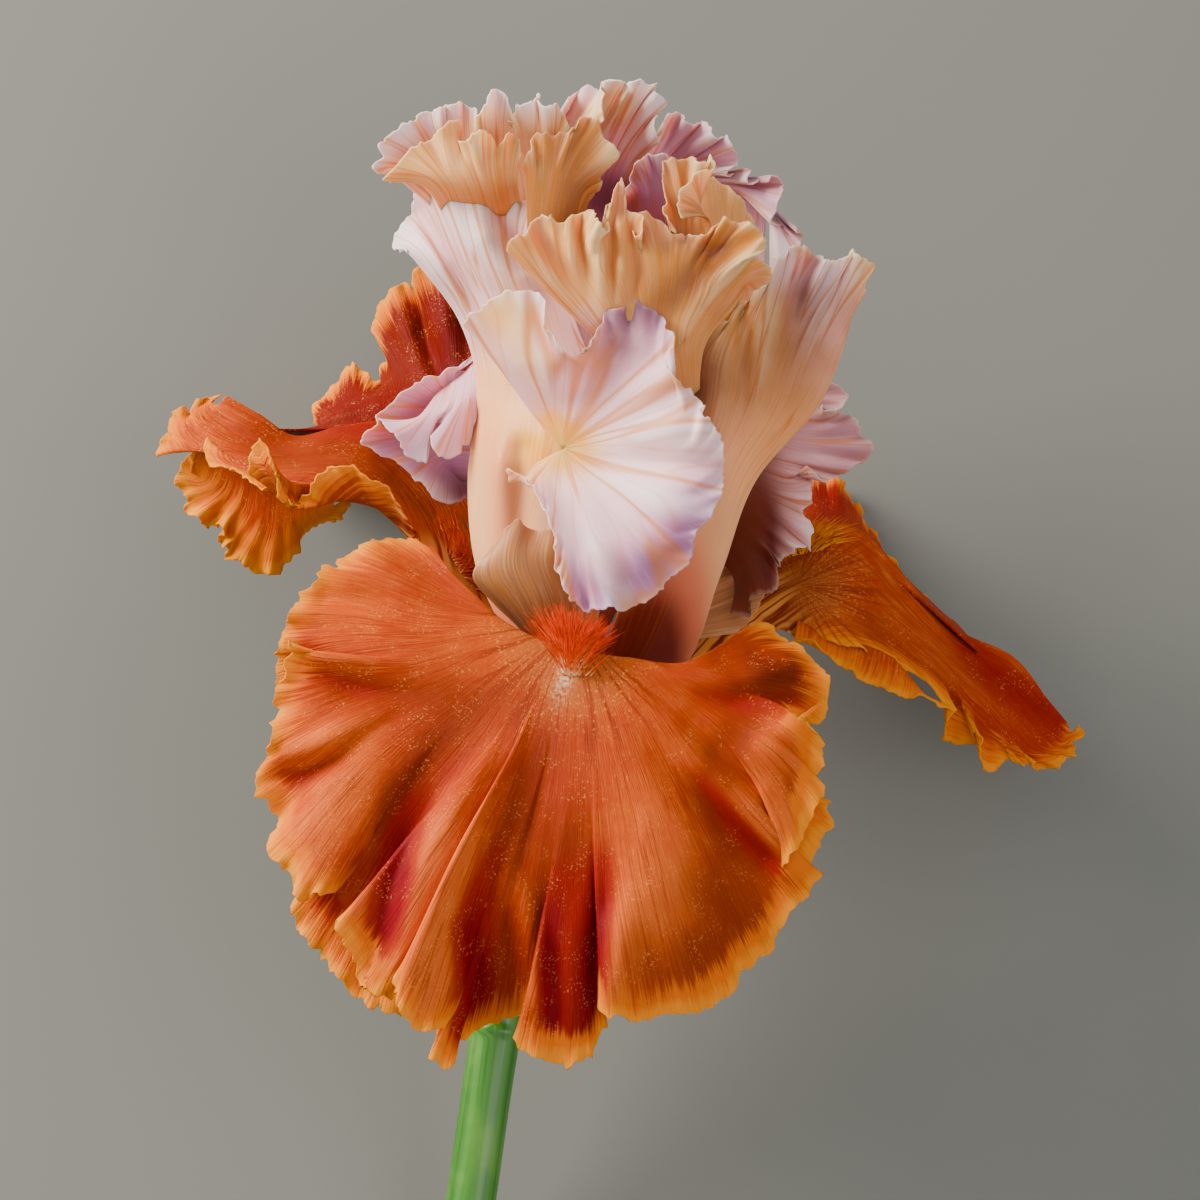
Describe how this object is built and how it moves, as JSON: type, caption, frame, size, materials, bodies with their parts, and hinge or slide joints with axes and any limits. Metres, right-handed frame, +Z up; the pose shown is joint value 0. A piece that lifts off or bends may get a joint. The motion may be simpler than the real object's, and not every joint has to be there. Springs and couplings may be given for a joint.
{
  "type": "iris flower",
  "caption": "Tall bearded iris bloom on a short cut stem, laid on its back: broad ruffled falls with beards, upright frilled standards, style arms, spathe and ovary",
  "frame": {"origin": "middle of the underside of the bounding box, on the surface that the flower lies on", "axes": "+Y runs along the stem from its cut end to the bloom's top, +Z is up, +X is to the bloom's right as seen from its front"},
  "size_m": [0.1616, 0.2078, 0.0915],
  "materials": {
    "stem": "smooth waxy green stem",
    "ovary": "smooth green, paler towards the petals",
    "spathe": "thin green bract with fine ribs",
    "fall": "velvety burnt orange petal, red in its folds, gold rim",
    "standard": "thin silky petal, pale lilac pink to apricot, fine veins",
    "style_arm": "cream petal-like arm with tan streaks",
    "beard": "fine orange-red hairs on a pale base",
    "stamen": "pale filament with a cream anther"
  },
  "bodies": {
    "root": {"stem": "stem", "ovary_tube": "ovary", "spathe_outer": "spathe", "spathe_inner": "spathe", "fall_front": "fall", "fall_left": "fall", "fall_right": "fall", "standard_left": "standard", "standard_right": "standard", "standard_back": "standard", "style_arm_front": "style_arm", "style_arm_left": "style_arm", "style_arm_right": "style_arm", "beard_front": "beard", "beard_left": "beard", "beard_right": "beard", "stamen_front": "stamen", "stamen_left": "stamen", "stamen_right": "stamen"}
  },
  "joints": []
}
